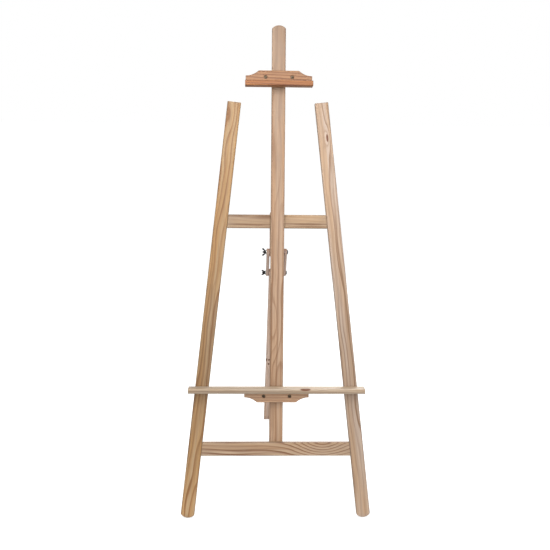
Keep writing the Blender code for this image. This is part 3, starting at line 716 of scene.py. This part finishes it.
# The looks of each board: its mean colour as display values, how it was cut, and its own figure.
REDDISH = (0.56, 0.37, 0.27)
HINGE_TONE = (184, 153, 128)
CHEEK_TONE = (183, 159, 145)
BOARDS = {
    "left_leg": dict(tone=(153, 125, 92), seed=1, spacing=0.0080, pith=(0.030, 0.036), tilt=(0.006, 0.022),
                     late=(0.64, 0.44, 0.25), wave=0.014, curl=0.026, contrast=1.2, warm=(1.10, 0.92, 0.62),
                     # Painted shade: the leg darker lower down, with paler stretches at its top and its foot.
                     painted_shade_and_tone=[((-0.16, 0.0, 0.0), (0.30, 1.0, 1.0), 0.24),
                           ((0.62, 0.0, 0.0), (0.16, 1.0, 1.0), -0.08),
                           ((-0.62, 0.0, 0.0), (0.10, 1.0, 1.0), -0.14)],
                     swirls=[((0.61, 0.004, 0.01), (0.06, 0.014, 0.03), 0.009),
                             ((-0.34, -0.012, 0.01), (0.10, 0.016, 0.03), 0.008),
                             ((-0.52, 0.012, 0.01), (0.08, 0.016, 0.03), -0.006)],
                     streaks_and_painted_shade=[((-0.05, 0.0045, 0.01), (0.32, 0.0020, 0.02), 0.55),
                              ((-0.08, -0.0065, 0.01), (0.30, 0.0020, 0.02), 0.5),
                              ((-0.12, 0.0135, 0.01), (0.26, 0.0018, 0.02), 0.5)]),
    "right_leg": dict(tone=(171, 149, 131), seed=2, spacing=0.0095, pith=(0.050, 0.042), tilt=(0.004, -0.012),
                      wave=0.011, curl=0.024, contrast=0.95, warm=(1.06, 0.93, 0.74),
                      # Painted shade: the leg darker lower down.
                      painted_shade_and_tone=[((-0.22, 0.0, 0.0), (0.40, 1.0, 1.0), 0.24)],
                      streaks_and_painted_shade=[((0.16, -0.010, 0.01), (0.24, 0.0026, 0.01), 0.8),
                               ((-0.06, 0.0105, 0.01), (0.26, 0.0020, 0.02), 0.55),
                               ((-0.10, 0.0010, 0.01), (0.22, 0.0018, 0.02), 0.45)],
                      knots=[((0.5387, -0.0065, 0.010), (0.013, 0.0032, 0.004))]),
    "upper_crossbar": dict(tone=(151, 126, 101), seed=3, spacing=0.0100, pith=(0.06, 0.03), tilt=(0.05, 0.03),
                           contrast=0.6, warm=(1.02, 0.92, 0.72),
                           painted_shade_and_tone=[((0.09, 0.012, 0.01), (0.09, 0.016, 0.05), -0.16)],
                           streaks_and_painted_shade=[((-0.04, 0.0140, 0.01), (0.050, 0.0080, 0.02), 0.95),
                                    ((-0.12, 0.0170, 0.01), (0.060, 0.0050, 0.02), 1.0),
                                    ((-0.09, -0.0110, 0.01), (0.08, 0.0026, 0.02), 1.3),
                                    ((0.10, -0.0085, 0.01), (0.070, 0.0026, 0.02), 1.2),
                                    ((0.10, -0.0165, 0.01), (0.060, 0.0020, 0.02), 0.9)]),
    "lower_crossbar": dict(tone=(159, 134, 109), seed=4, late=(0.50, 0.32, 0.22), spacing=0.0105,
                           pith=(0.05, 0.03), wave=0.007, curl=0.010, contrast=1.5,
                           swirls=[((0.145, 0.018, 0.01), (0.075, 0.045, 0.05), 0.042)],
                           streaks_and_painted_shade=[((-0.11, -0.0005, 0.01), (0.13, 0.0022, 0.02), 0.9),
                                    ((-0.11, -0.0135, 0.01), (0.13, 0.0022, 0.02), 0.8)]),
    "mast": dict(tone=(159, 131, 107), seed=5, spacing=0.0080, pith=(0.020, 0.040), tilt=(0.006, 0.022),
                 wave=0.010, curl=0.016, contrast=0.70, painted_shade_and_tone=[((0.70, 0.0, 0.0), (0.16, 1.0, 1.0), 0.16)],
                 swirls=[((0.23, 0.003, 0.01), (0.11, 0.014, 0.03), 0.010),
                         ((-0.24, 0.004, 0.01), (0.09, 0.016, 0.03), 0.016)],
                 streaks_and_painted_shade=[((-0.22, 0.0182, 0.01), (0.44, 0.0028, 0.05), 0.9),
                          ((-0.22, -0.0010, 0.01), (0.42, 0.0024, 0.02), 0.65),
                          ((-0.22, -0.0145, 0.01), (0.42, 0.0020, 0.02), 0.6),
                          ((-0.50, 0.0095, 0.01), (0.14, 0.0018, 0.02), 0.5)]),
    "hinge_block": dict(tone=HINGE_TONE, seed=6),
    "cheek_left": dict(tone=CHEEK_TONE, seed=7, spacing=0.005, pith=(0.04, 0.05), contrast=0.5),
    "cheek_right": dict(tone=CHEEK_TONE, seed=8, spacing=0.005, pith=(0.05, 0.03), contrast=0.5),
    "rear_leg": dict(tone=(209, 184, 168), seed=9, pith=(0.04, 0.05), contrast=0.7,
                     knots=[((-0.034, 0.010, -0.0215), (0.0100, 0.006, 0.0045)),
                            ((-0.034, 0.010, -0.0115), (0.0065, 0.006, 0.0034)),
                            ((-0.062, 0.010, -0.0125), (0.0070, 0.006, 0.0034))]),
    "tray_board": dict(tone=(177, 159, 139), seed=10, spacing=0.0070, pith=(0.05, 0.05), tilt=(0.01, 0.03),
                       contrast=0.8, knots=[((0.0876, -0.0205, 0.0062), (0.017, 0.010, 0.0046))],
                       # Painted shade: the tray's front face darker towards its bottom, and a paler stretch
                       # towards one end.
                       painted_shade_and_tone=[((0.0, -0.0230, -0.0035), (9.0, 0.0060, 0.0085), 0.48),
                             ((0.22, 0.0, 0.0), (0.17, 1.0, 1.0), -0.24)],
                       streaks_and_painted_shade=[((-0.14, -0.0225, 0.0005), (0.22, 0.006, 0.0016), 0.5),
                                ((0.12, -0.0225, -0.0035), (0.16, 0.006, 0.0016), 0.4)]),
    "tray_bracket": dict(tone=(160, 127, 99), seed=11, late=REDDISH, spacing=0.0060, pith=(0.06, 0.03),
                         contrast=1.1),
    "tray_clamp_bar": dict(tone=HINGE_TONE, seed=12),
    "clip_ledge": dict(tone=(151, 100, 60), seed=13, spacing=0.0065, pith=(0.04, 0.03), tilt=(0.02, 0.05),
                       # Painted shade: a dark band along the ledge's lower front edge and underside.
                       contrast=1.4, streaks_and_painted_shade=[((0.03, -0.0215, -0.0065), (0.07, 0.010, 0.0028), 1.1)]),
    "clip_bracket": dict(tone=(150, 110, 78), seed=14, spacing=0.0070, pith=(0.06, 0.04), tilt=(0.03, 0.02),
                         contrast=1.4),
    "clip_clamp_bar": dict(tone=HINGE_TONE, seed=15),
}

SIDES = ("left", "right")
LEVELS = ("upper", "lower")


def dowel_bore(node):
    return bore(node, DOWEL_BORE, HOLE_END_ROOM)


# The holes in each board, from the fasteners that pass through it.
BORES = {
    "mast": [countersink(f"{name}_screw_{side}") for name in ("mast_foot", "hinge_block") for side in SIDES],
    "hinge_block": [bore("link_bolt", BOLT_BORE),
                    *(countersink(f"hinge_block_screw_{side}") for side in SIDES)],
    "rear_leg": [bore("knee_bolt", BOLT_BORE)],
}
for side in SIDES:
    BORES[f"{side}_leg"] = [dowel_bore(f"{bar}_dowel_{side}_{end}") for bar in LEVELS for end in LEVELS]
    BORES[f"cheek_{side}"] = [bore("link_bolt", BOLT_BORE), bore("knee_bolt", BOLT_BORE)]
for bar, screw in (("upper", "hinge_block"), ("lower", "mast_foot")):
    dowel_holes = [dowel_bore(f"{bar}_dowel_{side}_{end}") for side in SIDES for end in LEVELS]
    BORES[f"{bar}_crossbar"] = dowel_holes + [countersink(f"{screw}_screw_{side}") for side in SIDES]
for label, shelf in (("tray", "tray_board"), ("clip", "clip_ledge")):
    dowel_holes = [dowel_bore(f"{label}_dowel_{side}") for side in SIDES]
    heads = [counterbore(f"{label}_clamp_bolt_{side}", f"{label}_bracket") for side in SIDES]
    BORES[shelf] = dowel_holes
    BORES[f"{label}_bracket"] = dowel_holes + heads
    BORES[f"{label}_clamp_bar"] = [bore(f"{label}_clamp_bolt_{side}", BOLT_BORE) for side in SIDES]

SEEN_FROM_THE_SIDE = ("rear_leg", "cheek_left", "cheek_right")


def make_board(node, look):
    board = Board(node, RIGHT if node in SEEN_FROM_THE_SIDE else None)
    corners = board.scallop_corners() if node.endswith("bracket") else board.corners()
    outline = dense_outline(corners)
    vertices, faces = plate(outline, board.half[2], look["seed"])
    obj = new_object(node + "_timber", [board.matrix @ Vector(v) for v in vertices], faces)
    cut_away(obj, BORES[node])
    mark_board(obj, board, outline)
    soften_shading(obj)
    show(obj, node, pine(node + "_pine", **look))


for board_node, board_look in BOARDS.items():
    make_board(board_node, board_look)


# Fasteners.

BLACK_STEEL = steel("black_steel", base=(0.022, 0.022, 0.024, 1), bright=(0.16, 0.155, 0.15, 1),
                    rough=0.34, stain=(0.035, 0.033, 0.032, 1))
BROWNED_STEEL = steel("browned_steel", base=(0.050, 0.036, 0.024, 1), bright=(0.20, 0.16, 0.12, 1),
                      rough=0.40, stain=(0.085, 0.055, 0.032, 1))
ZINC_STEEL = steel("zinc_steel", base=(0.50, 0.49, 0.46, 1), bright=(0.68, 0.68, 0.67, 1),
                   rough=0.26, stain=(0.38, 0.36, 0.30, 1))
BEECH = pine("beech_dowel", 21, (196, 156, 116), spacing=0.002, pith=(0.02, 0.02), contrast=0.5)

# Sizes of the fasteners, in metres.
BOLT_STEPS = 36
WASHER_STEPS = 48
DOWEL_STEPS = 72
SCREW_STEPS = 24
NUT_STEPS = 40
THREAD_ROWS = 8
BOLT_RADIUS = 0.003
BOLT_PITCH = 0.001
BOLT_THREAD_DEPTH = 0.0005
BOLT_THREAD_LENGTH = 0.016
BOLT_TIP_CHAMFER = 0.0007
DOMED_HEAD_HEIGHT = 0.0036
CLAMP_HEAD_HEIGHT = 0.0032
HEAD_EDGE = 0.0004
CLAMP_HEAD_RIM = 0.0006
SOCKET_FLOOR = 0.0021
DOMED_SOCKET_WIDTH = 0.004
CLAMP_SOCKET_WIDTH = 0.005
RECESS_LEAD = 0.001
WASHER_EDGE = 0.0003
DOWEL_CHAMFER = 0.0008
DOWEL_FLUTES = 12
FLUTE_DEPTH = 0.00025
SCREW_SHANK = 0.0021
SCREW_HEAD_EDGE = 0.0003
SCREW_PITCH = 0.0018
SCREW_THREAD_DEPTH = 0.0006
SCREW_TIP = 0.005
CROSS_SLOT_DEPTH = 0.0014
CROSS_SLOT_TAPER = 0.55
NUT_VOXEL = 0.0003


def place_turned(node, shape, material, suffix, cuts=()):
    """Puts a turned shape on its node's axis, after cutting these (vertices, faces) out of it."""
    axis = Axis(node)
    obj = new_object(node + suffix, *shape)
    if cuts:
        cut_away(obj, [(*solid, Matrix.Identity(4)) for solid in cuts])
    mesh = obj.data
    points = mesh_points(mesh)
    grain = points[:, [2, 0, 1]] if "dowel" in node else points
    store(mesh, "grain", "FLOAT_VECTOR", "POINT", grain)
    mesh.transform(axis.matrix)
    soften_shading(obj, FASTENER_SHARP_ANGLE)
    show(obj, node, material)


def winding(height, angle, pitch):
    """A triangular wave along a helix, falling from 1 to 0 and rising again once in every pitch."""
    return abs(2 * ((height / pitch - angle / (2 * math.pi)) % 1.0) - 1)


def thread_rings(start, end, pitch, thread_reach):
    """Rings of a thread from just past start to end, where thread_reach(angle, height) is its radius."""
    rings = []
    rows = int((end - start) / pitch * THREAD_ROWS)
    for row in range(1, rows + 1):
        height = start + (end - start) * row / rows
        rings.append((lambda angle, height=height: thread_reach(angle, height), height))
    return rings


def rounded_head(radius, low, high, rim):
    """Rings of a flat-topped head from its low face, with this much of its lower rim rounded."""
    rings = [(0, low)]
    for step in range(5):
        angle = math.pi / 2 * step / 4
        rings.append((radius - rim + rim * math.sin(angle), low + rim - rim * math.cos(angle)))
    return rings + [(radius, high - rim / 3), (radius - rim / 3, high)]


def hexagon(width):
    corner = width / math.sqrt(3)
    return [(corner * math.cos(math.pi / 3 * k), corner * math.sin(math.pi / 3 * k)) for k in range(6)]


def domed_head(radius, high, steps=10):
    """Rings of a domed head whose low face is its crown."""
    rings = [(0, 0)]
    for step in range(1, steps + 1):
        angle = math.pi / 2 * step / steps
        rings.append((radius * math.sin(angle), high * (1 - 0.96 * math.cos(angle))))
    return rings + [(radius - HEAD_EDGE, high)]


def make_bolt(node, head, head_height, socket_width, material):
    """A bolt with a socket in its head, from its head's rings to its chamfered tip."""
    length = Axis(node).length
    thread_start = length - BOLT_THREAD_LENGTH

    def thread_reach(angle, height):
        fade = min(1.0, (height - thread_start) / BOLT_PITCH)
        taper = max(0.0, height - (length - BOLT_TIP_CHAMFER))
        groove = 1 - winding(height, angle, BOLT_PITCH)
        return min(BOLT_RADIUS - BOLT_THREAD_DEPTH * fade * groove, BOLT_RADIUS - taper)

    rings = head + [(BOLT_RADIUS, head_height), (BOLT_RADIUS, thread_start)]
    rings += thread_rings(thread_start, length, BOLT_PITCH, thread_reach)
    rings.append((0, length))
    socket = prism(hexagon(socket_width), -RECESS_LEAD, SOCKET_FLOOR)
    place_turned(node, lathe(rings, BOLT_STEPS), material, "_turned", [socket])


def make_washer(node):
    axis = Axis(node)
    edge = WASHER_EDGE
    inner, outer, high = BOLT_BORE, axis.radius, axis.length
    rings = [(inner, high - edge), (inner, edge), (inner + edge, 0.0), (outer - edge, 0.0),
             (outer, edge), (outer, high - edge), (outer - edge, high), (inner + edge, high)]
    place_turned(node, lathe(rings, WASHER_STEPS, closed=True), ZINC_STEEL, "_stamped")


def make_dowel(node):
    axis = Axis(node)
    length = axis.length
    narrow = axis.radius - DOWEL_CHAMFER

    def fluted(angle):
        return axis.radius - FLUTE_DEPTH * max(0.0, math.cos(DOWEL_FLUTES * angle)) ** 2

    rings = [(0, 0), (narrow, 0), (fluted, DOWEL_CHAMFER), (fluted, length - DOWEL_CHAMFER),
             (narrow, length), (0, length)]
    place_turned(node, lathe(rings, DOWEL_STEPS), BEECH, "_fluted")


def make_screw(node):
    """A countersunk screw with a cross recess, a smooth neck for a third of its length, and a point."""
    axis = Axis(node)
    length = axis.length
    thread_start = length / 3

    def thread_reach(angle, height):
        return SCREW_SHANK - SCREW_THREAD_DEPTH * min(1.0, 2.2 * winding(height, angle, SCREW_PITCH))

    cone = axis.radius - SCREW_SHANK
    rings = [(0, 0), (axis.radius - 0.0002, 0), (axis.radius, SCREW_HEAD_EDGE),
             (SCREW_SHANK, cone + SCREW_HEAD_EDGE), (SCREW_SHANK, thread_start)]
    rings += thread_rings(thread_start, length - SCREW_TIP, SCREW_PITCH, thread_reach)
    rings.append((0, length))
    blade = [(0.0022, 0.0005), (-0.0022, 0.0005), (-0.0022, -0.0005), (0.0022, -0.0005)]
    slots = [prism(outline, -RECESS_LEAD, CROSS_SLOT_DEPTH, CROSS_SLOT_TAPER)
             for outline in (blade, [(-y, x) for x, y in blade])]
    place_turned(node, lathe(rings, SCREW_STEPS), ZINC_STEEL, "_threaded", slots)


def wing_nut_shape():
    """A cast wing nut standing on its own origin, with its wings along X."""
    hub = [(BOLT_BORE, 0.0060), (BOLT_BORE, 0.0), (0.0056, 0.0), (0.0058, 0.0003), (0.0056, 0.0012),
           (0.0051, 0.0032), (0.0047, 0.0056), (0.0044, 0.0060)]
    pieces = [lathe(hub, NUT_STEPS, closed=True)]
    rise = [(0.0040, 0.0010), (0.0070, 0.0030), (0.0098, 0.0054), (0.0122, 0.0074), (0.0128, 0.0092),
            (0.0123, 0.0112), (0.0108, 0.0124), (0.0090, 0.0118), (0.0075, 0.0098), (0.0060, 0.0072),
            (0.0040, 0.0054)]
    for side in (1, -1):
        front = []
        back = []
        for x, z in rise:
            thick = 0.00145 - 0.00055 * (x - 0.004) / 0.009
            front.append((side * x, -side * thick, z))
            back.append((side * x, side * thick, z))
        count = len(rise)
        faces = [tuple(range(count)), tuple(range(count, 2 * count))[::-1]]
        for index in range(count):
            after = (index + 1) % count
            faces.append((after, index, count + index, count + after))
        pieces.append((front + back, faces))
    cast = new_object("wing_nut_cast", *joined(pieces))
    remesh = cast.modifiers.new("cast", "REMESH")
    remesh.mode = "VOXEL"
    remesh.voxel_size = NUT_VOXEL
    smooth = cast.modifiers.new("tumbled", "SMOOTH")
    smooth.factor = 0.5
    smooth.iterations = 4
    bpy.context.view_layer.update()
    apply_modifiers(cast)
    shape = ([tuple(v.co) for v in cast.data.vertices], [tuple(p.vertices) for p in cast.data.polygons])
    bpy.data.objects.remove(cast, do_unlink=True)
    return shape


for label in ("link", "knee"):
    bolt = f"{label}_bolt"
    dome = domed_head(Axis(bolt).radius, DOMED_HEAD_HEIGHT)
    make_bolt(bolt, dome, DOMED_HEAD_HEIGHT, DOMED_SOCKET_WIDTH, BLACK_STEEL)
    make_washer(f"{label}_washer")
for label in ("tray", "clip"):
    for side in SIDES:
        bolt = f"{label}_clamp_bolt_{side}"
        flat = rounded_head(Axis(bolt).radius, 0, CLAMP_HEAD_HEIGHT, CLAMP_HEAD_RIM)
        make_bolt(bolt, flat, CLAMP_HEAD_HEIGHT, CLAMP_SOCKET_WIDTH, BROWNED_STEEL)
        make_washer(f"{label}_clamp_washer_{side}")
WING_NUT = wing_nut_shape()
for other_node in NODES:
    if "wing_nut" in other_node:
        place_turned(other_node, WING_NUT, BLACK_STEEL, "_cast")
    elif "dowel" in other_node:
        make_dowel(other_node)
    elif "_screw_" in other_node:
        make_screw(other_node)


# Floor, light and background.
FLOOR_REACH = 60.0
FLOOR_WHITENING = 0.72
FLOOR_GREYS = ((0.50, 0.50, 0.50, 1), (0.52, 0.52, 0.52, 1))


def make_floor():
    """A pale floor that is lifted to white where it is seen, and not where it lights the object."""
    reach = FLOOR_REACH
    corners = [(-reach, -reach, 0), (reach, -reach, 0), (reach, reach, 0), (-reach, reach, 0)]
    floor = new_object("floor", corners, [(0, 1, 2, 3)])
    nodes = Nodes("floor_paint")
    place = nodes.add("ShaderNodeTexCoord").outputs["Object"]
    mottle = nodes.noise(place, (3.0, 3.0, 3.0), 3.0)
    nodes.feed(nodes.shader.inputs["Base Color"], nodes.mix(mottle, *FLOOR_GREYS))
    nodes.feed(nodes.shader.inputs["Roughness"], nodes.math("MULTIPLY_ADD", mottle, 0.1, 0.75))
    nodes.feed(nodes.shader.inputs["Specular IOR Level"], 0.2)
    nodes.feed(nodes.shader.inputs["Emission Color"], (1.0, 1.0, 1.0, 1.0))
    seen = nodes.add("ShaderNodeLightPath").outputs["Is Camera Ray"]
    nodes.feed(nodes.shader.inputs["Emission Strength"], nodes.math("MULTIPLY", seen, FLOOR_WHITENING))
    floor.data.materials.append(nodes.material)


def make_light(name, place, target, size, power):
    data = bpy.data.lights.new(name, "AREA")
    data.shape = "RECTANGLE"
    data.size, data.size_y = size
    data.energy = power
    lamp = bpy.data.objects.new(name, data)
    lamp.location = place
    lamp.rotation_euler = (Vector(target) - Vector(place)).to_track_quat("-Z", "Y").to_euler()
    bpy.context.scene.collection.objects.link(lamp)


def make_skylight(direction, strength, spread):
    """A very soft light from this direction that is even over the whole floor."""
    data = bpy.data.lights.new("skylight", "SUN")
    data.energy = strength
    data.angle = math.radians(spread)
    lamp = bpy.data.objects.new("skylight", data)
    lamp.rotation_euler = (-Vector(direction)).to_track_quat("-Z", "Y").to_euler()
    bpy.context.scene.collection.objects.link(lamp)


def make_world(shown, lighting):
    """A white background whose light on the object is weaker than its own brightness."""
    world = bpy.data.worlds.new("studio")
    world.use_nodes = True
    tree = world.node_tree
    background = tree.nodes["Background"]
    background.inputs["Color"].default_value = (1.0, 1.0, 1.0, 1.0)
    path = tree.nodes.new("ShaderNodeLightPath")
    level = tree.nodes.new("ShaderNodeMapRange")
    level.inputs["To Min"].default_value = lighting
    level.inputs["To Max"].default_value = shown
    tree.links.new(path.outputs["Is Camera Ray"], level.inputs["Value"])
    tree.links.new(level.outputs["Result"], background.inputs["Strength"])
    bpy.context.scene.world = world


make_floor()
make_world(shown=1.0, lighting=0.42)
make_skylight(direction=(-0.05, -0.85, 0.50), strength=1.2, spread=100)
for name, place, target, size, power in (
        ("softbox_front", (-0.1, -3.3, 1.45), (0.0, -0.2, 0.95), (1.8, 1.5), 45.0),
        ("softbox_near", (-0.1, -1.4, 1.65), (0.0, 0.0, 0.4), (0.9, 0.6), 11.0),
        ("softbox_top", (0.1, 0.7, 2.9), (0.0, -0.2, 0.6), (1.6, 1.2), 24.0),
        ("softbox_back", (0.9, 2.8, 1.6), (0.0, 0.0, 0.7), (1.8, 1.8), 40.0)):
    make_light(name, place, target, size, power)
bpy.context.scene.view_settings.view_transform = "Standard"
